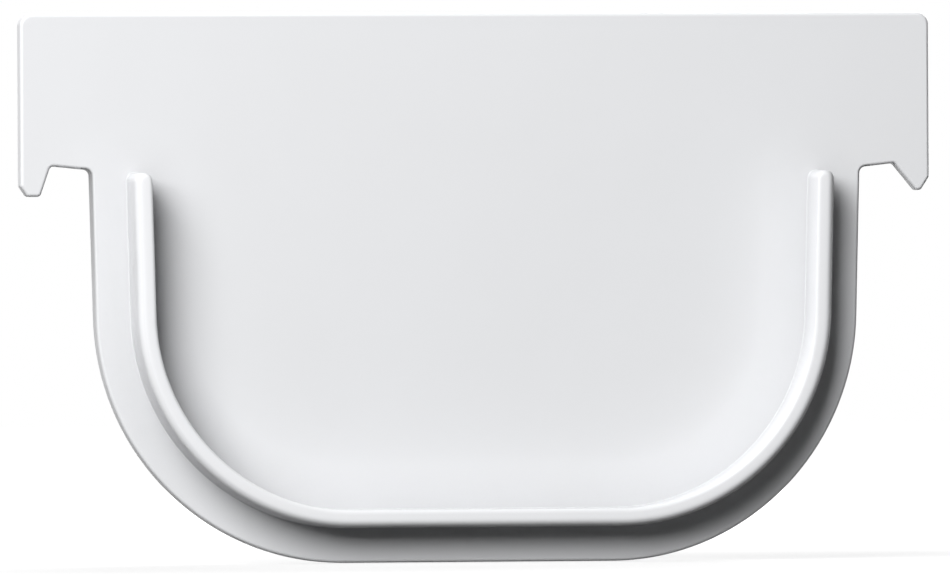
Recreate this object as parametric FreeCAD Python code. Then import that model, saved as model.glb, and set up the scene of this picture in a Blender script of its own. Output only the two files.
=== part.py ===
import FreeCAD, Part
import math
import os

# Gutter end cap, moulded in one piece. The flat plate closes the end of a gutter: its head covers the
# gutter's rims, its bowl covers the trough, and a U-shaped plug wall reaches into the trough.
# Frame: X across the gutter, Z up, the gutter on the -Y side. The origin lies on the seat face (y = 0),
# on the centre line, level with the roots of the ears. Lengths are in millimetres, angles in degrees.

Vector = FreeCAD.Vector

# Plate, and the largest share that its rims take of the outline's tightest corner
plate_thickness = 3.0
plate_edge_radius = 0.5
rim_share = 0.8

# Head with an ear at each end
head_width = 140.4
head_height = 23.5
head_corner_radius = 1.8
ear_underside_rise = 0.6
ear_root_radius = 1.0

# Bowl below the head
bowl_width = 118.8
bowl_depth = 59.5
bowl_side_lean = 1.5
bowl_corner_radius = 38.0

# Teeth below the outer ends of the ears. A tooth's widths are shares of the width of the ear that carries it,
# so that room for the gutter's rim is always left between the tooth and the bowl.
tooth_drop = 4.0
tooth_edge_radius = 0.7
tooth_root_radius = 0.7
blunt_tooth_root_share = 0.426
blunt_tooth_tip_share = 0.176
blunt_tooth_bevel_share = 0.102
blunt_tooth_bevel_height = 1.6
pointed_tooth_root_share = 0.5
pointed_tooth_bevel_share = 0.148
pointed_tooth_bevel_height = 2.5

# Plug wall standing on the seat face. Its top has a wide lead-in along the outer edge, which takes at most a
# share of half the top, and a crisp inner edge.
flange_width = 5.3
wall_height = 7.0
wall_foot_thickness = 2.8
wall_draft = 1.0
wall_foot_radius = 0.25
wall_end_gap = 0.4
wall_outer_edge_radius = 1.1
wall_inner_edge_radius = 0.35
lead_in_share = 0.9

# Largest share of a side that the arcs at its two ends take together
arc_share = 0.95


def bowl_half_width(z, inset):
    """Half the bowl's width at height z, for an outline set in from the bowl's edge."""
    lean = math.radians(bowl_side_lean)
    return bowl_width / 2 + z * math.tan(lean) - inset / math.cos(lean)


def ear_width():
    """Width of one ear, from the bowl's edge to the head's end."""
    return head_width / 2 - bowl_half_width(0, 0)


def fitted_radii(points, half_angles, radii, closed):
    """The corners' radii, made smaller where the arcs at both ends of a side don't fit on it."""
    reaches = [radius / math.tan(half_angle) for radius, half_angle in zip(radii, half_angles)]
    fits = [1.0] * len(points)
    for i in range(len(points) if closed else len(points) - 1):
        after = (i + 1) % len(points)
        room = arc_share * points[i].distanceToPoint(points[after])
        if reaches[i] + reaches[after] > room:
            fit = room / (reaches[i] + reaches[after])
            fits[i] = min(fits[i], fit)
            fits[after] = min(fits[after], fit)
    return [radius * fit for radius, fit in zip(radii, fits)]


def rounded_edges(corners, closed):
    """Lines and tangent arcs through corners given as (x, z, radius); an open run keeps its two ends."""
    count = len(corners)
    points = [Vector(x, 0, z) for x, z, radius in corners]
    before = [(points[i - 1] - points[i]).normalize() for i in range(count)]
    after = [(points[(i + 1) % count] - points[i]).normalize() for i in range(count)]
    half_angles = [before[i].getAngle(after[i]) / 2 for i in range(count)]
    radii = fitted_radii(points, half_angles, [radius for x, z, radius in corners], closed)
    joints = []
    for i, point in enumerate(points):
        if not closed and i in (0, count - 1):
            joints.append((point, point, point))
            continue
        reach = radii[i] / math.tan(half_angles[i])
        bisector = (before[i] + after[i]).normalize()
        middle = point + bisector * (radii[i] / math.sin(half_angles[i]) - radii[i])
        joints.append((point + before[i] * reach, middle, point + after[i] * reach))
    edges = []
    for i, (start, middle, end) in enumerate(joints):
        if start != end:
            edges.append(Part.Arc(start, middle, end).toShape())
        if closed or i < count - 1:
            edges.append(Part.LineSegment(end, joints[(i + 1) % count][0]).toShape())
    return edges


def blunt_tooth():
    """Corners of the flat-tipped tooth, from the ear's end inwards, as (inward, z, radius)."""
    ear = ear_width()
    tip_start = blunt_tooth_bevel_share * ear
    tip_end = tip_start + blunt_tooth_tip_share * ear
    return [
        (0, -tooth_drop + blunt_tooth_bevel_height, tooth_edge_radius),
        (tip_start, -tooth_drop, tooth_edge_radius),
        (tip_end, -tooth_drop, tooth_edge_radius),
        (blunt_tooth_root_share * ear, ear_underside_rise, tooth_root_radius),
    ]


def pointed_tooth():
    """Corners of the pointed tooth, from the ear's end inwards, as (inward, z, radius)."""
    ear = ear_width()
    return [
        (0, -tooth_drop + pointed_tooth_bevel_height, tooth_edge_radius),
        (pointed_tooth_bevel_share * ear, -tooth_drop, tooth_edge_radius),
        (pointed_tooth_root_share * ear, ear_underside_rise, tooth_root_radius),
    ]


def plate_outline():
    """Outline of the whole plate: head, ears with their teeth, and bowl."""
    head_half = head_width / 2
    bowl_half = bowl_half_width(0, 0)
    floor_half = bowl_half_width(-bowl_depth, 0)
    right = [(head_half - inward, z, radius) for inward, z, radius in pointed_tooth()]
    left = [(inward - head_half, z, radius) for inward, z, radius in reversed(blunt_tooth())]
    corners = [(-head_half, head_height, head_corner_radius), (head_half, head_height, head_corner_radius)]
    corners += right
    corners += [(bowl_half, 0, ear_root_radius), (floor_half, -bowl_depth, bowl_corner_radius)]
    corners += [(-floor_half, -bowl_depth, bowl_corner_radius), (-bowl_half, 0, ear_root_radius)]
    corners += left
    return Part.Wire(rounded_edges(corners, closed=True))


def plate():
    """The flat plate, with both rims of its edge rounded as far as its tightest corner lets them."""
    outline = plate_outline()
    tightest = min(edge.Curve.Radius for edge in outline.Edges if isinstance(edge.Curve, Part.Circle))
    rim_radius = min(plate_edge_radius, rim_share * tightest)
    body = Part.Face(outline).extrude(Vector(0, plate_thickness, 0))
    rims = [edge for edge in body.Edges if edge.BoundBox.YLength < rim_radius / 2]
    return body.makeFillet(rim_radius, rims)


def wall_path():
    """Centre line of the plug wall, from its right end down round the bowl to its left end."""
    inset = flange_width + wall_foot_thickness / 2
    top = -wall_end_gap - wall_foot_thickness / 2
    floor = -bowl_depth + inset
    radius = bowl_corner_radius - inset
    right_end = (bowl_half_width(top, inset), top, 0)
    right_corner = (bowl_half_width(floor, inset), floor, radius)
    left_corner = (-right_corner[0], floor, radius)
    left_end = (-right_end[0], top, 0)
    return Part.Wire(rounded_edges([right_end, right_corner, left_corner, left_end], closed=False))


def wall_half_top():
    """Half the wall's thickness at its top."""
    return wall_foot_thickness / 2 - wall_height * math.tan(math.radians(wall_draft))


def wall_half_section(foot, across):
    """Face of one half of the wall's section, from its centre line at foot towards across."""
    root = plate_thickness / 2
    half_root = wall_foot_thickness / 2 + root * math.tan(math.radians(wall_draft))

    def place(sideways, height):
        return foot + across * sideways + Vector(0, -height, 0)

    corners = [
        place(0, wall_height),
        place(wall_half_top(), wall_height),
        place(half_root, -root),
        place(0, -root),
    ]
    return Part.Face(Part.makePolygon(corners + corners[:1]))


def plug_wall():
    """U-shaped wall with drafted sides and turned ends, sunk to half the plate's depth."""
    path = wall_path()
    run_ends = (path.OrderedVertexes[0].Point, path.OrderedVertexes[-1].Point)
    lean = math.radians(bowl_side_lean)
    outward = Vector(math.cos(lean), 0, -math.sin(lean))
    outer_half = wall_half_section(run_ends[0], outward)
    inner_half = wall_half_section(run_ends[0], outward * -1)
    pieces = [path.makePipe(outer_half), path.makePipe(inner_half)]
    pieces.append(outer_half.revolve(run_ends[0], Vector(0, -1, 0), 180))
    left_half = wall_half_section(run_ends[1], Vector(-outward.x, 0, outward.z))
    pieces.append(left_half.revolve(run_ends[1], Vector(0, 1, 0), 180))
    return pieces[0].fuse(pieces[1:]).removeSplitter()


def top_edges(top):
    """The outer and the inner edges of the wall's top face, without the arcs of its turned ends."""
    path = wall_path()
    closing = Part.LineSegment(path.OrderedVertexes[-1].Point, path.OrderedVertexes[0].Point).toShape()
    trough = Part.Face(Part.Wire(path.OrderedEdges + [closing]))
    outer, inner = [], []
    for edge in top.OuterWire.Edges:
        if isinstance(edge.Curve, Part.Circle) and edge.Curve.Radius < wall_foot_thickness:
            continue
        middle = edge.valueAt((edge.FirstParameter + edge.LastParameter) / 2)
        inside = trough.isInside(Vector(middle.x, 0, middle.z), trough.Tolerance, True)
        (inner if inside else outer).append(edge)
    return outer, inner


def rounded(body, runs):
    """The body with runs of edges rounded, each by its own radius; tangent edges between two runs blend."""
    document = FreeCAD.newDocument("end_cap")
    base = document.addObject("Part::Feature", "base")
    base.Shape = body
    rounding = document.addObject("Part::Fillet", "rounding")
    rounding.Base = base
    radii = []
    for number, edge in enumerate(body.Edges, start=1):
        radii += [(number, radius, radius) for run, radius in runs if any(edge.isSame(one) for one in run)]
    rounding.Edges = radii
    document.recompute()
    return rounding.Shape


def end_cap():
    """The whole cap: plate and plug wall in one solid, with the wall's top and foot rounded."""
    body = plate().fuse(plug_wall()).removeSplitter()
    top = min(body.Faces, key=lambda face: face.BoundBox.YMax)
    seat = max((face for face in body.Faces if face.BoundBox.YMax < plate_thickness / 2
                and face.BoundBox.YLength < plate_edge_radius / 2), key=lambda face: face.Area)
    foot = [edge for wire in seat.Wires if not wire.isSame(seat.OuterWire) for edge in wire.Edges]
    outer, inner = top_edges(top)
    lead_in = min(wall_outer_edge_radius, lead_in_share * wall_half_top())
    return rounded(body, [(outer, lead_in), (inner, wall_inner_edge_radius), (foot, wall_foot_radius)])


os.makedirs("parts", exist_ok=True)
end_cap().exportStep("parts/end_cap.step")
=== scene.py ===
"""Gutter end cap in white PVC: its moulded shape, its satin finish, the studio and the photograph's camera.

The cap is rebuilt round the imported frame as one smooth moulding. Guide loops hold the corners of its two
outlines in the seat plane, and one Geometry Nodes tree rounds the corners, sweeps the rim and the plug wall
along the loops and closes the flat faces. Lengths are in metres and angles in radians, unless a name says
otherwise.
"""

import logging
import math
from dataclasses import dataclass
from enum import Enum, IntEnum

import bpy
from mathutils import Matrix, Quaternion, Vector


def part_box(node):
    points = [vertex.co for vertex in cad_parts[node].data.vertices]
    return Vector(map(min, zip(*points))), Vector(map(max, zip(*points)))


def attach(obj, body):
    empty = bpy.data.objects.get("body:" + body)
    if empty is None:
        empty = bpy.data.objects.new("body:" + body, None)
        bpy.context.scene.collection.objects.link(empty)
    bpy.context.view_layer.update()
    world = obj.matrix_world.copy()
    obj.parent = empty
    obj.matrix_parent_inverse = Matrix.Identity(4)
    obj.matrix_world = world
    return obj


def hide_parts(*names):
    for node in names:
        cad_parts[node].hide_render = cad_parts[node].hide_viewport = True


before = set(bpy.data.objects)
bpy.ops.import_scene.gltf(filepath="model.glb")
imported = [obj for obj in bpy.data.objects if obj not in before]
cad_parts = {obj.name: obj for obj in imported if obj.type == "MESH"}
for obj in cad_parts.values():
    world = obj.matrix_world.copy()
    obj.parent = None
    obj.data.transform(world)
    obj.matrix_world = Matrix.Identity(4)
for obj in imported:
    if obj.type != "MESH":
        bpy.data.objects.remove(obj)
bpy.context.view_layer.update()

LOG = logging.getLogger("end_cap")
MM = 0.001
QUARTER_TURN = math.pi / 2
CAD_NODE = "end_cap"
CAD_BODY = "root"
PHOTO_WIDTH_PX = 950

Colour = tuple[float, float, float, float]


class GuideLoop(IntEnum):
    """The two outlines in the seat plane that the moulding follows."""

    PLATE = 0
    WALL = 1


class Attribute(str, Enum):
    """Point attributes of the guide loops and of what the node tree sweeps along them."""

    LOOP = "guide_loop"
    RADIUS = "corner_radius"
    STEPS = "corner_steps"
    FOOT = "wall_foot"
    OUTWARD = "wall_outward"
    CREST = "wall_crest"


@dataclass(frozen=True)
class Corner:
    """A corner of an outline: x across the gutter, z up, and the radius of the arc that rounds it."""

    x: float
    z: float
    radius: float


@dataclass(frozen=True)
class Plate:
    """The flat plate: a head with an ear and a tooth at each end, and a bowl below it."""

    thickness: float
    head_width: float
    head_height: float
    bowl_depth: float
    rim_radius: float = 0.5 * MM
    head_corner_radius: float = 1.8 * MM
    ear_underside_rise: float = 0.6 * MM
    ear_root_radius: float = 1.0 * MM
    bowl_width: float = 118.8 * MM
    bowl_side_lean: float = math.radians(1.5)
    bowl_corner_radius: float = 38.0 * MM
    tooth_drop: float = 4.0 * MM
    tooth_edge_radius: float = 0.7 * MM
    tooth_root_radius: float = 0.7 * MM
    blunt_tooth_root_share: float = 0.426
    blunt_tooth_tip_share: float = 0.176
    blunt_tooth_bevel_share: float = 0.102
    blunt_tooth_bevel_height: float = 1.6 * MM
    pointed_tooth_root_share: float = 0.5
    pointed_tooth_bevel_share: float = 0.148
    pointed_tooth_bevel_height: float = 2.5 * MM

    def bowl_half_width(self, z: float, inset: float) -> float:
        """Half the bowl's width at a height.

        Args:
            z: Height in the seat plane, below the ears' roots where negative.
            inset: Distance that the measured outline is set in from the bowl's edge.

        Returns:
            The distance from the centre line to that outline.
        """
        lean = self.bowl_side_lean
        return self.bowl_width / 2 + z * math.tan(lean) - inset / math.cos(lean)

    def ear_width(self) -> float:
        """Width of one ear.

        Returns:
            The distance from the bowl's edge to the head's end.
        """
        return self.head_width / 2 - self.bowl_half_width(0, 0)

    def blunt_tooth(self) -> list[Corner]:
        """Corners of the flat-tipped tooth below the left ear.

        Returns:
            The corners from the ear's root towards its end.
        """
        end = -self.head_width / 2
        ear = self.ear_width()
        tip_start = end + self.blunt_tooth_bevel_share * ear
        tip_end = tip_start + self.blunt_tooth_tip_share * ear
        root = end + self.blunt_tooth_root_share * ear
        return [
            Corner(root, self.ear_underside_rise, self.tooth_root_radius),
            Corner(tip_end, -self.tooth_drop, self.tooth_edge_radius),
            Corner(tip_start, -self.tooth_drop, self.tooth_edge_radius),
            Corner(end, self.blunt_tooth_bevel_height - self.tooth_drop, self.tooth_edge_radius),
        ]

    def pointed_tooth(self) -> list[Corner]:
        """Corners of the pointed tooth below the right ear.

        Returns:
            The corners from the ear's root towards its end.
        """
        end = self.head_width / 2
        ear = self.ear_width()
        root = end - self.pointed_tooth_root_share * ear
        tip = end - self.pointed_tooth_bevel_share * ear
        return [
            Corner(root, self.ear_underside_rise, self.tooth_root_radius),
            Corner(tip, -self.tooth_drop, self.tooth_edge_radius),
            Corner(end, self.pointed_tooth_bevel_height - self.tooth_drop, self.tooth_edge_radius),
        ]

    def outline(self) -> list[Corner]:
        """Outline of the whole plate.

        Returns:
            Its corners, counter-clockwise as the gutter side shows them.
        """
        head_half = self.head_width / 2
        bowl_half = self.bowl_half_width(0, 0)
        floor_half = self.bowl_half_width(-self.bowl_depth, 0)
        return [
            Corner(head_half, self.head_height, self.head_corner_radius),
            Corner(-head_half, self.head_height, self.head_corner_radius),
            *reversed(self.blunt_tooth()),
            Corner(-bowl_half, 0, self.ear_root_radius),
            Corner(-floor_half, -self.bowl_depth, self.bowl_corner_radius),
            Corner(floor_half, -self.bowl_depth, self.bowl_corner_radius),
            Corner(bowl_half, 0, self.ear_root_radius),
            *self.pointed_tooth(),
        ]


@dataclass(frozen=True)
class PlugWall:
    """The U-shaped wall on the seat face: drafted sides, turned ends and a lead-in along the top's outside.

    end_round_share leaves a short straight between the two rounds of a turned end.
    """

    plate: Plate
    height: float
    flange_width: float = 5.3 * MM
    foot_thickness: float = 2.8 * MM
    draft: float = math.radians(1.0)
    outer_edge_radius: float = 1.1 * MM
    inner_edge_radius: float = 0.14 * MM
    foot_radius: float = 0.08 * MM
    end_gap: float = 0.4 * MM
    end_round_share: float = 0.97

    def side(self, depth: float) -> tuple[float, float, float, float]:
        """One face of the wall at its foot, on the right half.

        Args:
            depth: Distance of that face from the wall's outer face.

        Returns:
            Half width at the wall's end, half width at its floor, height of its floor, radius of its corner.
        """
        inset = self.flange_width + depth
        floor = inset - self.plate.bowl_depth
        end_half = self.plate.bowl_half_width(-self.end_gap, inset)
        floor_half = self.plate.bowl_half_width(floor, inset)
        return end_half, floor_half, floor, self.plate.bowl_corner_radius - inset

    def foot_loop(self) -> list[Corner]:
        """Outline of the wall's foot.

        Returns:
            Its corners, counter-clockwise as the gutter side shows them.
        """
        end_radius = self.end_round_share * self.foot_thickness / 2
        outer_end, outer_floor_half, outer_floor, outer_radius = self.side(0)
        inner_end, inner_floor_half, inner_floor, inner_radius = self.side(self.foot_thickness)
        return [
            Corner(outer_end, -self.end_gap, end_radius),
            Corner(inner_end, -self.end_gap, end_radius),
            Corner(inner_floor_half, inner_floor, inner_radius),
            Corner(-inner_floor_half, inner_floor, inner_radius),
            Corner(-inner_end, -self.end_gap, end_radius),
            Corner(-outer_end, -self.end_gap, end_radius),
            Corner(-outer_floor_half, outer_floor, outer_radius),
            Corner(outer_floor_half, outer_floor, outer_radius),
        ]


class NodeSketch:
    """Adds nodes to a tree, with their values and links given in one call."""

    def __init__(self, tree: bpy.types.NodeTree) -> None:
        """Keeps the tree.

        Args:
            tree: The tree that the nodes go into.
        """
        self.tree = tree

    def feed(self, socket: bpy.types.NodeSocket, value: object) -> None:
        """Gives an input its value or its links.

        Args:
            socket: The input.
            value: A value, an output socket, or a list of output sockets for a multi-input.
        """
        if isinstance(value, list):
            for source in value:
                self.tree.links.new(source, socket)
        elif isinstance(value, bpy.types.NodeSocket):
            self.tree.links.new(value, socket)
        else:
            socket.default_value = value

    def add(self, kind: str, inputs: dict | None = None, **settings: object) -> bpy.types.Node:
        """Adds a node.

        Args:
            kind: The node's type.
            inputs: What each input is fed with, by the input's identifier or number.
            settings: The node's own properties, set before its inputs.

        Returns:
            The new node.
        """
        node = self.tree.nodes.new(kind)
        for name, value in settings.items():
            setattr(node, name, value)
        sockets = {socket.identifier: socket for socket in node.inputs} | dict(enumerate(node.inputs))
        for name, value in (inputs or {}).items():
            self.feed(sockets[name], value)
        return node

    def math(self, operation: str, *values: object) -> bpy.types.NodeSocket:
        """A Math node's result.

        Args:
            operation: The node's operation.
            values: Its operands, numbers or output sockets.

        Returns:
            The output socket.
        """
        return self.add("ShaderNodeMath", dict(enumerate(values)), operation=operation).outputs[0]

    def vector(self, operation: str, *values: object) -> bpy.types.NodeSocket:
        """A Vector Math node's result.

        Args:
            operation: The node's operation.
            values: Its operands, vectors or output sockets, and a scale's factor last.

        Returns:
            The output socket that the operation uses.
        """
        node = self.add("ShaderNodeVectorMath", operation=operation)
        used = [socket for socket in node.inputs if socket.enabled]
        for socket, value in zip(used, values):
            self.feed(socket, value)
        return next(socket for socket in node.outputs if socket.enabled)

    def blend(self, share: bpy.types.NodeSocket, first: Colour, second: Colour) -> bpy.types.NodeSocket:
        """A mix of two colours.

        Args:
            share: Share of the second colour.
            first: The first colour.
            second: The second colour.

        Returns:
            The mixed colour's socket.
        """
        mix = self.add("ShaderNodeMix", {"Factor_Float": share, "A_Color": first, "B_Color": second},
                       data_type="RGBA")
        return next(socket for socket in mix.outputs if socket.identifier == "Result_Color")

    def point(self, x: object, y: object) -> bpy.types.NodeSocket:
        """A vector in the XY plane.

        Args:
            x: Its first part, a number or an output socket.
            y: Its second part, likewise.

        Returns:
            The vector's socket.
        """
        return self.add("ShaderNodeCombineXYZ", {"X": x, "Y": y}).outputs[0]


class MouldTree:
    """The node tree that turns the guide loops into the moulded cap.

    The tree works in the seat plane: local X is across the gutter, local Y is up and local Z points to the
    gutter. Its last step stands the moulding up in the part's own frame. FULL_FACING is how squarely a side
    of the wall looks away from the part's origin, or towards it, where its edge has its own radius in full.
    """

    LENGTHS = ("Plate thickness", "Rim radius", "Wall height", "Outer edge radius", "Inner edge radius",
               "Foot radius")
    FULL_FACING = 0.9
    MERGE_DISTANCE = 0.002 * MM
    SECTION_STEPS = 12
    BETWEEN_ONE_AND_TWO = 1.5

    def __init__(self) -> None:
        """Makes the tree with its named inputs and all its nodes."""
        self.tree = bpy.data.node_groups.new("end_cap_moulding", "GeometryNodeTree")
        interface = self.tree.interface
        interface.new_socket("Guide loops", in_out="INPUT", socket_type="NodeSocketGeometry")
        for name in self.LENGTHS:
            interface.new_socket(name, in_out="INPUT", socket_type="NodeSocketFloat").subtype = "DISTANCE"
        interface.new_socket("Wall draft", in_out="INPUT", socket_type="NodeSocketFloat").subtype = "ANGLE"
        interface.new_socket("Material", in_out="INPUT", socket_type="NodeSocketMaterial")
        interface.new_socket("Moulding", in_out="OUTPUT", socket_type="NodeSocketGeometry")
        self.sketch = NodeSketch(self.tree)
        self.inputs = self.sketch.add("NodeGroupInput").outputs
        self.assemble()

    def loop_curve(self, loop: GuideLoop) -> bpy.types.NodeSocket:
        """One guide loop as a curve with rounded corners.

        Args:
            loop: Which loop.

        Returns:
            The curve's socket.
        """
        add = self.sketch.add
        tag = self.read(Attribute.LOOP, "INT")
        chosen = add("FunctionNodeCompare", {"A_INT": tag, "B_INT": int(loop)}, data_type="INT",
                     operation="EQUAL")
        part = add("GeometryNodeSeparateGeometry",
                   {"Geometry": self.inputs["Guide loops"], "Selection": chosen.outputs[0]}, domain="POINT")
        corners = add("GeometryNodeMeshToCurve", {"Mesh": part.outputs["Selection"]})
        rounded = add("GeometryNodeFilletCurve", mode="POLY", inputs={
            "Curve": corners.outputs[0], "Count": self.read(Attribute.STEPS, "INT"),
            "Radius": self.read(Attribute.RADIUS, "FLOAT"), "Limit Radius": True})
        upright = add("GeometryNodeSetCurveNormal", {"Curve": rounded.outputs[0]}, mode="Z_UP")
        return upright.outputs[0]

    def section(self, points: list[bpy.types.NodeSocket],
                radius: bpy.types.NodeSocket) -> bpy.types.NodeSocket:
        """An open section of four points with its two middle corners rounded.

        Args:
            points: The points, as outward offset and depth below the seat plane.
            radius: The corners' radius, or a field of it.

        Returns:
            The section curve's socket.
        """
        add = self.sketch.add
        places = {f"Point {number}": point for number, point in enumerate(points, start=1)}
        run = add("GeometryNodeCurvePrimitiveQuadrilateral", places, mode="POINTS")
        opened = add("GeometryNodeSetSplineCyclic", {"Geometry": run.outputs[0], "Cyclic": False})
        rounded = add("GeometryNodeFilletCurve", mode="POLY", inputs={
            "Curve": opened.outputs[0], "Count": self.SECTION_STEPS, "Radius": radius, "Limit Radius": True})
        return rounded.outputs[0]

    def rim_section(self) -> bpy.types.NodeSocket:
        """Section of the plate's edge, from the seat face round both rims to the weather face.

        Returns:
            The section curve's socket.
        """
        point = self.sketch.point
        radius = self.inputs["Rim radius"]
        depth = self.inputs["Plate thickness"]
        inset = self.sketch.math("MULTIPLY", radius, -1.0)
        points = [point(inset, 0.0), point(0.0, 0.0), point(0.0, depth), point(inset, depth)]
        return self.section(points, radius)

    def wall_section(self) -> bpy.types.NodeSocket:
        """Section of the plug wall's side, from the edge of its flat top down to the flange.

        Returns:
            The section curve's socket, with the points of its top edge's rounding marked.
        """
        add, calc, point = self.sketch.add, self.sketch.math, self.sketch.point
        edge_radius, foot_radius = self.inputs["Inner edge radius"], self.inputs["Foot radius"]
        corner_turn = calc("ADD", self.inputs["Wall draft"], QUARTER_TURN)
        half_corner = calc("TANGENT", calc("MULTIPLY", corner_turn, 0.5))
        up = calc("MULTIPLY", self.inputs["Wall height"], -1.0)
        edge = self.edge_inset()
        top_start = calc("SUBTRACT", edge, calc("DIVIDE", edge_radius, half_corner))
        corner = add("GeometryNodeInputIndex").outputs[0]
        at_edge = calc("LESS_THAN", corner, self.BETWEEN_ONE_AND_TWO)
        radius = calc("MULTIPLY_ADD", at_edge, calc("SUBTRACT", edge_radius, foot_radius), foot_radius)
        points = [point(top_start, up), point(edge, up), point(0.0, 0.0),
                  point(calc("DIVIDE", foot_radius, half_corner), 0.0)]
        depth = add("ShaderNodeSeparateXYZ", {0: add("GeometryNodeInputPosition").outputs[0]}).outputs["Y"]
        high = calc("LESS_THAN", depth, calc("MULTIPLY", up, 0.5))
        return self.stored(self.section(points, radius), Attribute.CREST, "BOOLEAN", high)

    def edge_inset(self) -> bpy.types.NodeSocket:
        """How far the draft sets the wall's top edge in from its foot.

        Returns:
            The distance's socket, as a negative outward offset.
        """
        calc = self.sketch.math
        return calc("MULTIPLY", calc("TANGENT", self.inputs["Wall draft"]),
                    calc("MULTIPLY", self.inputs["Wall height"], -1.0))

    def stored(self, geometry: bpy.types.NodeSocket, attribute: Attribute, kind: str,
               value: bpy.types.NodeSocket) -> bpy.types.NodeSocket:
        """The geometry with a field kept on its points as an attribute.

        Args:
            geometry: The geometry.
            attribute: The attribute's name.
            kind: Its data type.
            value: The field.

        Returns:
            The geometry's socket.
        """
        inputs = {"Geometry": geometry, "Name": attribute.value, "Value": value}
        return self.sketch.add("GeometryNodeStoreNamedAttribute", inputs, data_type=kind).outputs[0]

    def read(self, attribute: Attribute, kind: str) -> bpy.types.NodeSocket:
        """The field of an attribute.

        Args:
            attribute: The attribute's name.
            kind: Its data type.

        Returns:
            The field's socket.
        """
        inputs = {"Name": attribute.value}
        return self.sketch.add("GeometryNodeInputNamedAttribute", inputs, data_type=kind).outputs[0]

    def wall_curve(self) -> bpy.types.NodeSocket:
        """The wall's foot loop.

        Returns:
            The curve's socket, with each point's place and outward direction kept for the sweep.
        """
        add = self.sketch.add
        curve = self.loop_curve(GuideLoop.WALL)
        place = add("GeometryNodeInputPosition").outputs[0]
        placed = self.stored(curve, Attribute.FOOT, "FLOAT_VECTOR", place)
        along = add("GeometryNodeInputTangent").outputs[0]
        outward = self.sketch.vector("CROSS_PRODUCT", along, (0.0, 0.0, 1.0))
        return self.stored(placed, Attribute.OUTWARD, "FLOAT_VECTOR", outward)

    def eased(self, wall: bpy.types.NodeSocket) -> bpy.types.NodeSocket:
        """The swept wall with the lead-in along the outer edge of its top.

        The sweep rounds that edge by the inner radius all round. A wider radius only scales the rounding
        about its sharp corner, and round the turned ends the radius passes from the inner to the outer
        value.

        Args:
            wall: The swept wall.

        Returns:
            The eased wall's socket.
        """
        add, calc, vector = self.sketch.add, self.sketch.math, self.sketch.vector
        foot, outward = (self.read(name, "FLOAT_VECTOR") for name in (Attribute.FOOT, Attribute.OUTWARD))
        facing = vector("DOT_PRODUCT", outward, vector("NORMALIZE", foot))
        inner, outer = self.inputs["Inner edge radius"], self.inputs["Outer edge radius"]
        radius = add("ShaderNodeMapRange", {
            "Value": facing, "From Min": -self.FULL_FACING, "From Max": self.FULL_FACING, "To Min": inner,
            "To Max": outer}).outputs[0]
        growth = calc("SUBTRACT", calc("DIVIDE", radius, inner), 1.0)
        up = add("ShaderNodeCombineXYZ", {"Z": self.inputs["Wall height"]}).outputs[0]
        sharp = vector("ADD", vector("ADD", foot, up), vector("SCALE", outward, self.edge_inset()))
        place = add("GeometryNodeInputPosition").outputs[0]
        offset = vector("SCALE", vector("SUBTRACT", place, sharp), growth)
        crest = self.read(Attribute.CREST, "BOOLEAN")
        return add("GeometryNodeSetPosition", {
            "Geometry": wall, "Selection": crest, "Offset": offset}).outputs[0]

    def open_edge(self, mesh: bpy.types.NodeSocket, limit: bpy.types.NodeSocket,
                  above: bool) -> bpy.types.NodeSocket:
        """An open edge of a swept surface as a curve.

        Args:
            mesh: The swept surface.
            limit: Local height that parts its two open edges.
            above: Whether the wanted edge lies above that height.

        Returns:
            The curve's socket.
        """
        add, calc = self.sketch.add, self.sketch.math
        faces = add("GeometryNodeInputMeshEdgeNeighbors").outputs[0]
        place = add("ShaderNodeSeparateXYZ", {0: add("GeometryNodeInputPosition").outputs[0]})
        side = calc("GREATER_THAN" if above else "LESS_THAN", place.outputs["Z"], limit)
        chosen = calc("MULTIPLY", calc("LESS_THAN", faces, self.BETWEEN_ONE_AND_TWO), side)
        return add("GeometryNodeMeshToCurve", {"Mesh": mesh, "Selection": chosen}).outputs[0]

    def swept(self, curve: bpy.types.NodeSocket, section: bpy.types.NodeSocket) -> bpy.types.NodeSocket:
        """A section carried round a loop.

        Args:
            curve: The loop.
            section: The section's curve.

        Returns:
            The swept surface's socket.
        """
        inputs = {"Curve": curve, "Profile Curve": section}
        return self.sketch.add("GeometryNodeCurveToMesh", inputs).outputs[0]

    def flat(self, edges: list[bpy.types.NodeSocket], height: object) -> bpy.types.NodeSocket:
        """A flat face inside its edges, which looks to the gutter.

        Args:
            edges: The curves of its outer edge and of the holes in it.
            height: Its local height, a number or an output socket.

        Returns:
            The face's socket.
        """
        add = self.sketch.add
        outline = add("GeometryNodeJoinGeometry", {0: edges})
        filled = add("GeometryNodeFillCurve", {"Curve": outline.outputs[0]})
        shift = add("ShaderNodeCombineXYZ", {"Z": height})
        return add("GeometryNodeTransform", {
            "Geometry": filled.outputs[0], "Translation": shift.outputs[0]}).outputs[0]

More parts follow.
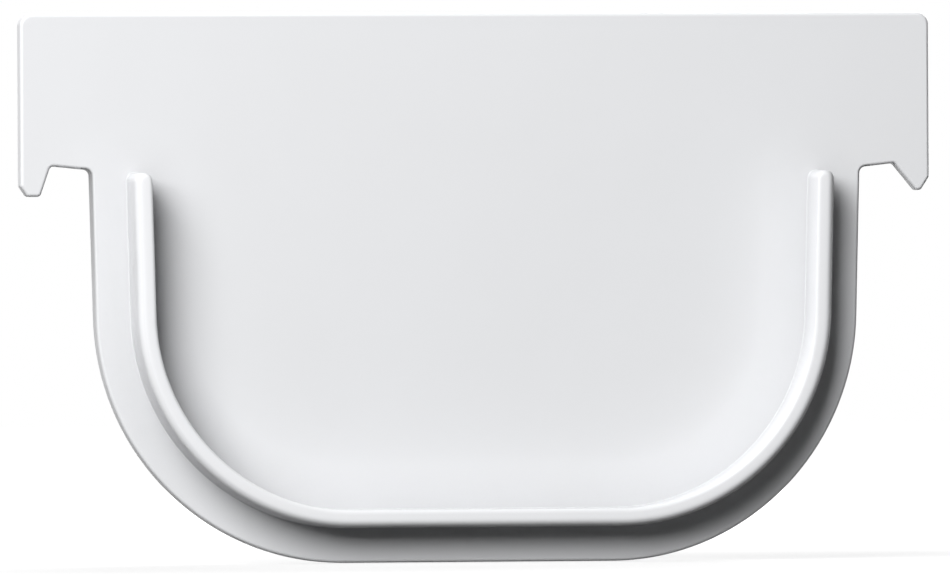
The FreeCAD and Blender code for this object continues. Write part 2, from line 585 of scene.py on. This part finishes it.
    def assemble(self) -> None:
        """Adds the sweeps, the flat faces, and the steps that join, turn and dress them."""
        add, calc = self.sketch.add, self.sketch.math
        rim = self.swept(self.loop_curve(GuideLoop.PLATE), self.rim_section())
        wall = self.eased(self.swept(self.wall_curve(), self.wall_section()))
        middle = calc("MULTIPLY", self.inputs["Plate thickness"], -0.5)
        half_height = calc("MULTIPLY", self.inputs["Wall height"], 0.5)
        seat = self.flat([self.open_edge(rim, middle, True), self.open_edge(wall, half_height, False)], 0.0)
        top = self.flat([self.open_edge(wall, half_height, True)], self.inputs["Wall height"])
        weather = self.flat([self.open_edge(rim, middle, False)],
                            calc("MULTIPLY", self.inputs["Plate thickness"], -1.0))
        turned = add("GeometryNodeFlipFaces", {"Mesh": weather}).outputs[0]
        joined = add("GeometryNodeJoinGeometry", {0: [rim, wall, seat, top, turned]})
        welded = add("GeometryNodeMergeByDistance", {
            "Geometry": joined.outputs[0], "Distance": self.MERGE_DISTANCE})
        upright = add("GeometryNodeTransform", {
            "Geometry": welded.outputs[0], "Rotation": (QUARTER_TURN, 0.0, 0.0)})
        smooth = add("GeometryNodeSetShadeSmooth", {"Geometry": upright.outputs[0]})
        real = add("GeometryNodeRealizeInstances", {"Geometry": smooth.outputs[0]})
        dressed = add("GeometryNodeSetMaterial",
                      {"Geometry": real.outputs[0], "Material": self.inputs["Material"]})
        add("NodeGroupOutput", {0: dressed.outputs[0]})

    def identifier(self, name: str) -> str:
        """Finds one of the tree's inputs.

        Args:
            name: The input's name.

        Returns:
            The input's identifier.
        """
        return next(item.identifier for item in self.tree.interface.items_tree
                    if item.name == name and item.in_out == "INPUT")


@dataclass(frozen=True)
class MouldedPvc:
    """Satin white rigid PVC: fine grain, faint flow, a cool and uneven white, and painted shade and light.

    Painted shade lies in the inner corners, within corner_reach of a facing surface. It takes the share
    corner_shade_tone of the white where no more than corner_depth of the surroundings is open. Painted shade
    also lies along the bowl's edge, from edge_top down over edge_fade, where it takes edge_shade_tone and
    edge_turn is the turn out of the face at which that is reached. The wall's top is painted lighter, a
    painted highlight: top_light_tone is how much whiter its top is, over the highest top_light_band, and
    from wear_start upwards its edges catch the light over wear_radius.
    """

    name: str = "white_pvc"
    pale: Colour = (0.845, 0.853, 0.872, 1.0)
    shade: Colour = (0.822, 0.828, 0.842, 1.0)
    tint_size: float = 24.0 * MM
    tint_detail: float = 3.0
    roughness_low: float = 0.36
    roughness_high: float = 0.46
    gloss_patch_size: float = 7.0 * MM
    gloss_detail: float = 4.0
    specular_level: float = 0.2
    grain_size: float = 0.45 * MM
    grain_detail: float = 2.0
    grain_depth: float = 0.006 * MM
    flow_size: float = 16.0 * MM
    flow_detail: float = 1.0
    flow_depth: float = 0.05 * MM
    corner_shade_tone: float = 0.3
    corner_reach: float = 7.0 * MM
    corner_depth: float = 0.4
    edge_shade_tone: float = 0.6
    edge_turn: float = 0.35
    edge_top: float = 0.5 * MM
    edge_fade: float = 40.0 * MM
    edge_margin: float = 1.6 * MM
    top_light_tone: float = 1.09
    top_light_band: float = 0.08 * MM
    wear_radius: float = 0.9 * MM
    wear_start: float = 0.05 * MM
    traced_samples: int = 8

    def noise(self, sketch: NodeSketch, place: bpy.types.NodeSocket, size: float,
              detail: float) -> bpy.types.NodeSocket:
        """A noise pattern of a given feature size.

        Args:
            sketch: The material's nodes.
            place: The coordinates to read.
            size: Size of the pattern's features.
            detail: Number of finer layers.

        Returns:
            The pattern's value.
        """
        return sketch.add("ShaderNodeTexNoise", {
            "Vector": place, "Scale": 1 / size, "Detail": detail}).outputs[0]

    def corner_painted_shade(self, sketch: NodeSketch) -> bpy.types.NodeSocket:
        """Share of the white that painted shade in the inner corners leaves.

        Args:
            sketch: The material's nodes.

        Returns:
            The share: one in the open, less where surfaces face each other.
        """
        # Painted shade: the white darkens where ambient occlusion finds facing surfaces nearby.
        openness = sketch.add("ShaderNodeAmbientOcclusion", {"Distance": self.corner_reach},
                              samples=self.traced_samples, only_local=True).outputs["AO"]
        return sketch.add("ShaderNodeMapRange", {
            "Value": openness, "From Min": self.corner_depth, "To Min": 1.0 - self.corner_shade_tone}).outputs[0]

    def edge_painted_shade(self, sketch: NodeSketch, place: bpy.types.NodeSocket, normal: bpy.types.NodeSocket,
                   bowl_half: float) -> bpy.types.NodeSocket:
        """Share of the white that painted shade along the bowl's edge leaves.

        Args:
            sketch: The material's nodes.
            place: The point's coordinates.
            normal: The surface's direction.
            bowl_half: Half the bowl's greatest width.

        Returns:
            The share: one off the edge, less on it, with the most painted shade just below the ears.
        """
        add, calc = sketch.add, sketch.math
        x, y, z = add("ShaderNodeSeparateXYZ", {0: place}).outputs
        facing = add("ShaderNodeSeparateXYZ", {0: normal}).outputs["Y"]
        sideways = add("ShaderNodeMapRange", {
            "Value": calc("SUBTRACT", 1.0, calc("ABSOLUTE", facing)), "From Max": self.edge_turn}).outputs[0]
        behind_seat = calc("GREATER_THAN", y, 0.0)
        on_bowl = calc("LESS_THAN", calc("ABSOLUTE", x), bowl_half + self.edge_margin)
        below_ears = calc("LESS_THAN", z, self.edge_top)
        lower = add("ShaderNodeMapRange", {
            "Value": z, "From Min": -self.edge_fade, "From Max": 0.0}).outputs[0]
        # Painted shade on the bowl's side faces, darkest just below the ears and fading downwards.
        darkening = self.edge_shade_tone
        for share in (sideways, behind_seat, on_bowl, below_ears, lower):
            darkening = calc("MULTIPLY", share, darkening)
        return calc("SUBTRACT", 1.0, darkening)

    def top_painted_light(self, sketch: NodeSketch, height: bpy.types.NodeSocket,
                     wall_height: float) -> bpy.types.NodeSocket:
        """How much whiter the wall's top is painted, a painted highlight.

        Args:
            sketch: The material's nodes.
            height: The point's height over the seat face.
            wall_height: Height of the wall's top.

        Returns:
            The factor: one below the top, more on it.
        """
        # Painted light: the white is lifted over the wall's top.
        return sketch.add("ShaderNodeMapRange", {
            "Value": height, "From Min": wall_height - self.top_light_band, "From Max": wall_height, "To Min": 1.0,
            "To Max": self.top_light_tone}).outputs[0]

    def worn_normal(self, sketch: NodeSketch, height: bpy.types.NodeSocket) -> bpy.types.NodeSocket:
        """The surface's direction, softened near the wall's edges.

        Args:
            sketch: The material's nodes.
            height: The point's height over the seat face.

        Returns:
            The direction to shade with.
        """
        on_wall = sketch.math("GREATER_THAN", height, self.wear_start)
        radius = sketch.math("MULTIPLY", on_wall, self.wear_radius)
        return sketch.add("ShaderNodeBevel", {"Radius": radius}, samples=self.traced_samples).outputs[0]

    def material(self, bowl_half: float, wall_height: float) -> bpy.types.Material:
        """Makes the material.

        Args:
            bowl_half: Half the bowl's greatest width.
            wall_height: Height of the wall's top over the seat face.

        Returns:
            The material, made of nodes.
        """
        material = bpy.data.materials.new(self.name)
        material.use_nodes = True
        material.node_tree.nodes.clear()
        sketch = NodeSketch(material.node_tree)
        coordinates = sketch.add("ShaderNodeTexCoord").outputs
        place = coordinates["Object"]
        patches = self.noise(sketch, place, self.tint_size, self.tint_detail)
        tint = sketch.blend(patches, self.shade, self.pale)
        gloss = sketch.add("ShaderNodeMapRange", {
            "Value": self.noise(sketch, place, self.gloss_patch_size, self.gloss_detail),
            "To Min": self.roughness_low, "To Max": self.roughness_high})
        y = sketch.add("ShaderNodeSeparateXYZ", {0: place}).outputs["Y"]
        height = sketch.math("MULTIPLY", y, -1.0)
        flow = sketch.add("ShaderNodeBump", {
            "Height": self.noise(sketch, place, self.flow_size, self.flow_detail),
            "Distance": self.flow_depth, "Normal": self.worn_normal(sketch, height)})
        grain = sketch.add("ShaderNodeBump", {
            "Height": self.noise(sketch, place, self.grain_size, self.grain_detail),
            "Distance": self.grain_depth, "Normal": flow.outputs[0]})
        # Painted shade in the corners and along the bowl's edge, and painted light on the wall's top, scale
        # the white.
        painted_shade = sketch.math("MULTIPLY", self.corner_painted_shade(sketch),
                            self.edge_painted_shade(sketch, place, coordinates["Normal"], bowl_half))
        white = sketch.math("MULTIPLY", painted_shade, self.top_painted_light(sketch, height, wall_height))
        colour = sketch.vector("SCALE", tint, white)
        surface = sketch.add("ShaderNodeBsdfPrincipled", {
            "Base Color": colour, "Roughness": gloss.outputs[0],
            "Specular IOR Level": self.specular_level, "Normal": grain.outputs[0]})
        sketch.add("ShaderNodeOutputMaterial", {"Surface": surface.outputs[0]})
        return material


@dataclass(frozen=True)
class EndCap:
    """The whole moulding: plate and plug wall in one piece.

    A quarter of a circle gets a step for each arc_step of its length, within fewest_steps and most_steps.
    flat_weight lets the large faces set the shading's direction where they meet a rounding.
    """

    plate: Plate
    wall: PlugWall
    finish: MouldedPvc = MouldedPvc()
    name: str = "moulded_cap"
    arc_step: float = 0.35 * MM
    fewest_steps: int = 10
    most_steps: int = 120
    flat_weight: int = 100

    def guide(self) -> bpy.types.Object:
        """Makes the guide loops.

        Returns:
            An object whose mesh holds both loops' corners, with their attributes.
        """
        loops = {GuideLoop.PLATE: self.plate.outline(), GuideLoop.WALL: self.wall.foot_loop()}
        points, edges, tags, radii = [], [], [], []
        for loop, corners in loops.items():
            first = len(points)
            points += [(corner.x, corner.z, 0.0) for corner in corners]
            edges += [(first + i, first + (i + 1) % len(corners)) for i in range(len(corners))]
            tags += [int(loop)] * len(corners)
            radii += [corner.radius for corner in corners]
        steps = [min(self.most_steps, max(self.fewest_steps, round(QUARTER_TURN * radius / self.arc_step)))
                 for radius in radii]
        mesh = bpy.data.meshes.new(self.name)
        mesh.from_pydata(points, edges, [])
        for attribute, kind, values in ((Attribute.LOOP, "INT", tags), (Attribute.RADIUS, "FLOAT", radii),
                                        (Attribute.STEPS, "INT", steps)):
            mesh.attributes.new(attribute.value, kind, "POINT").data.foreach_set("value", values)
        guide = bpy.data.objects.new(self.name, mesh)
        bpy.context.scene.collection.objects.link(guide)
        return guide

    def build(self) -> bpy.types.Object:
        """Makes the cap's mesh with the node tree.

        Returns:
            The finished object, with no modifier left on it.
        """
        cap = self.guide()
        moulding = MouldTree()
        modifier = cap.modifiers.new("moulding", "NODES")
        modifier.node_group = moulding.tree
        sizes = {
            "Plate thickness": self.plate.thickness, "Rim radius": self.plate.rim_radius,
            "Wall height": self.wall.height, "Wall draft": self.wall.draft,
            "Outer edge radius": self.wall.outer_edge_radius,
            "Inner edge radius": self.wall.inner_edge_radius, "Foot radius": self.wall.foot_radius,
            "Material": self.finish.material(self.plate.bowl_width / 2, self.wall.height)}
        for name, value in sizes.items():
            modifier[moulding.identifier(name)] = value
        cap.modifiers.new("flat_faces", "WEIGHTED_NORMAL").weight = self.flat_weight
        evaluated = cap.evaluated_get(bpy.context.evaluated_depsgraph_get())
        mesh = bpy.data.meshes.new_from_object(evaluated)
        cap.modifiers.clear()
        cap.data = mesh
        return cap

    def dress(self) -> bpy.types.Object:
        """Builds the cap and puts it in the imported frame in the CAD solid's place.

        Returns:
            The piece.
        """
        piece = self.build()
        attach(piece, CAD_BODY)
        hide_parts(CAD_NODE)
        return piece


@dataclass(frozen=True)
class Softbox:
    """A square studio lamp that faces the object and isn't seen itself.

    Its direction is given from the seat face: rise is the angle up from that face towards the camera's side,
    and turn is the angle in the face's own plane, from the left upwards.
    """

    name: str
    rise_deg: float
    turn_deg: float
    distance: float
    size: float
    watts: float

    def direction(self) -> Vector:
        """Where the lamp stands.

        Returns:
            The direction from the object to the lamp.
        """
        rise, turn = math.radians(self.rise_deg), math.radians(self.turn_deg)
        return Vector((-math.cos(rise) * math.cos(turn), -math.sin(rise), math.cos(rise) * math.sin(turn)))

    def build(self, target: Vector) -> bpy.types.Object:
        """Makes the lamp.

        Args:
            target: The point that it faces.

        Returns:
            The lamp's object.
        """
        light = bpy.data.lights.new(self.name, "AREA")
        light.size = self.size
        light.energy = self.watts
        lamp = bpy.data.objects.new(self.name, light)
        lamp.location = target + self.direction() * self.distance
        lamp.rotation_euler = (-self.direction()).to_track_quat("-Z", "Y").to_euler()
        lamp.visible_camera = False
        bpy.context.scene.collection.objects.link(lamp)
        return lamp


def seen_directly(sketch: NodeSketch) -> bpy.types.NodeSocket:
    """One for the rays that show the background, zero for those that light the object.

    Args:
        sketch: The nodes of the world or of a stage material.

    Returns:
        The value's socket.
    """
    rays = sketch.add("ShaderNodeLightPath").outputs
    direct = sketch.math("MAXIMUM", rays["Is Camera Ray"], rays["Is Glossy Ray"])
    return sketch.math("MAXIMUM", direct, rays["Is Transmission Ray"])


@dataclass(frozen=True)
class PaleFloor:
    """The plain floor that the cap stands on. It shows white and keeps the cap's shadow.

    Part of its white is a glow, which is weakest within near of the part's origin and full from far on, so
    that the floor runs into the white surroundings.
    """

    half_size: float = 3.0
    drop: float = 0.05 * MM
    colour: Colour = (0.35, 0.35, 0.35, 1.0)
    dim_colour: Colour = (0.05, 0.05, 0.05, 1.0)
    near_glow: float = 0.64
    far_glow: float = 1.0
    near: float = 0.12
    far: float = 0.5

    def material(self) -> bpy.types.Material:
        """Makes the floor's material.

        Returns:
            The material: matt, with a glow to direct looks, and dim to the light that it throws back.
        """
        material = bpy.data.materials.new("pale_floor")
        material.use_nodes = True
        material.node_tree.nodes.clear()
        sketch = NodeSketch(material.node_tree)
        direct = seen_directly(sketch)
        shade = sketch.blend(direct, self.dim_colour, self.colour)
        matt = sketch.add("ShaderNodeBsdfDiffuse", {"Color": shade})
        reach = sketch.vector("LENGTH", sketch.add("ShaderNodeTexCoord").outputs["Object"])
        level = sketch.add("ShaderNodeMapRange", {
            "Value": reach, "From Min": self.near, "From Max": self.far, "To Min": self.near_glow,
            "To Max": self.far_glow})
        strength = sketch.math("MULTIPLY", direct, level.outputs[0])
        glow = sketch.add("ShaderNodeEmission", {"Strength": strength})
        both = sketch.add("ShaderNodeAddShader", {0: matt.outputs[0], 1: glow.outputs[0]})
        sketch.add("ShaderNodeOutputMaterial", {"Surface": both.outputs[0]})
        return material

    def build(self, height: float) -> bpy.types.Object:
        """Makes the floor.

        Args:
            height: Height of the lowest point of what stands on it.

        Returns:
            The floor's object.
        """
        half, z = self.half_size, height - self.drop
        corners = [(-half, -half, z), (half, -half, z), (half, half, z), (-half, half, z)]
        mesh = bpy.data.meshes.new("floor")
        mesh.from_pydata(corners, [], [(0, 1, 2, 3)])
        mesh.materials.append(self.material())
        floor = bpy.data.objects.new("floor", mesh)
        bpy.context.scene.collection.objects.link(floor)
        return floor


@dataclass(frozen=True)
class Studio:
    """The lamps, the floor and the white surroundings."""

    key: Softbox = Softbox("key", rise_deg=42.2, turn_deg=43.5, distance=1.2, size=0.9, watts=21.7)
    back: Softbox = Softbox("back", rise_deg=-50, turn_deg=135, distance=1.0, size=0.8, watts=13.5)
    floor: PaleFloor = PaleFloor()
    ambient: float = 0.02

    def surround(self) -> bpy.types.World:
        """Makes the white world.

        Returns:
            The world: white where it is looked at, dim as a light.
        """
        world = bpy.data.worlds.new("white_surround")
        world.use_nodes = True
        world.node_tree.nodes.clear()
        sketch = NodeSketch(world.node_tree)
        strength = sketch.math("MULTIPLY_ADD", seen_directly(sketch), 1.0 - self.ambient, self.ambient)
        white = sketch.add("ShaderNodeBackground", {"Color": (1.0, 1.0, 1.0, 1.0), "Strength": strength})
        sketch.add("ShaderNodeOutputWorld", {"Surface": white.outputs[0]})
        bpy.context.scene.world = world
        return world

    def build(self, low: Vector, high: Vector) -> None:
        """Sets the studio up round the object.

        Args:
            low: Lowest corner of the object's box.
            high: Highest corner of the object's box.
        """
        self.surround()
        self.floor.build(low.z)
        for lamp in (self.key, self.back):
            lamp.build((low + high) / 2)


@dataclass(frozen=True)
class PhotoCamera:
    """The photograph's camera: a long lens, a little to the left of the seat face's normal."""

    azimuth_deg: float = -11.8
    elevation_deg: float = 0.0
    roll_deg: float = -0.3
    distance: float = 3.0
    target: tuple[float, float, float] = (-0.45 * MM, 0.0, -18.37 * MM)
    pixels_per_mm: float = 6.61
    sensor_width: float = 36.0

    def build(self) -> bpy.types.Object:
        """Makes the camera and gives it to the scene.

        Returns:
            The camera's object.
        """
        azimuth, elevation = math.radians(self.azimuth_deg), math.radians(self.elevation_deg)
        back = Vector((math.sin(azimuth) * math.cos(elevation), -math.cos(azimuth) * math.cos(elevation),
                       math.sin(elevation)))
        seen_width = PHOTO_WIDTH_PX / self.pixels_per_mm * MM
        lens = bpy.data.cameras.new("photo_camera")
        lens.sensor_width = self.sensor_width
        lens.lens = self.sensor_width * self.distance / seen_width
        camera = bpy.data.objects.new("photo_camera", lens)
        camera.location = Vector(self.target) + back * self.distance
        camera.rotation_mode = "QUATERNION"
        roll = Quaternion((0.0, 0.0, 1.0), math.radians(self.roll_deg))
        camera.rotation_quaternion = (-back).to_track_quat("-Z", "Y") @ roll
        bpy.context.scene.collection.objects.link(camera)
        bpy.context.scene.camera = camera
        return camera


def main() -> None:
    """Builds the cap, the studio and the camera."""
    logging.basicConfig(level=logging.INFO, format="%(name)s: %(message)s")
    low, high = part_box(CAD_NODE)
    plate = Plate(thickness=high.y, head_width=high.x - low.x, head_height=high.z, bowl_depth=-low.z)
    cap = EndCap(plate, PlugWall(plate, height=-low.y))
    piece = cap.dress()
    LOG.info("%s: %d faces", piece.name, len(piece.data.polygons))
    Studio().build(low, high)
    LOG.info("studio: key lamp, back lamp and floor")
    camera = PhotoCamera().build()
    LOG.info("%s: %.0f mm lens", camera.name, camera.data.lens)
    bpy.context.scene.view_settings.view_transform = "Standard"
    bpy.context.view_layer.update()


if __name__ == "__main__":
    main()
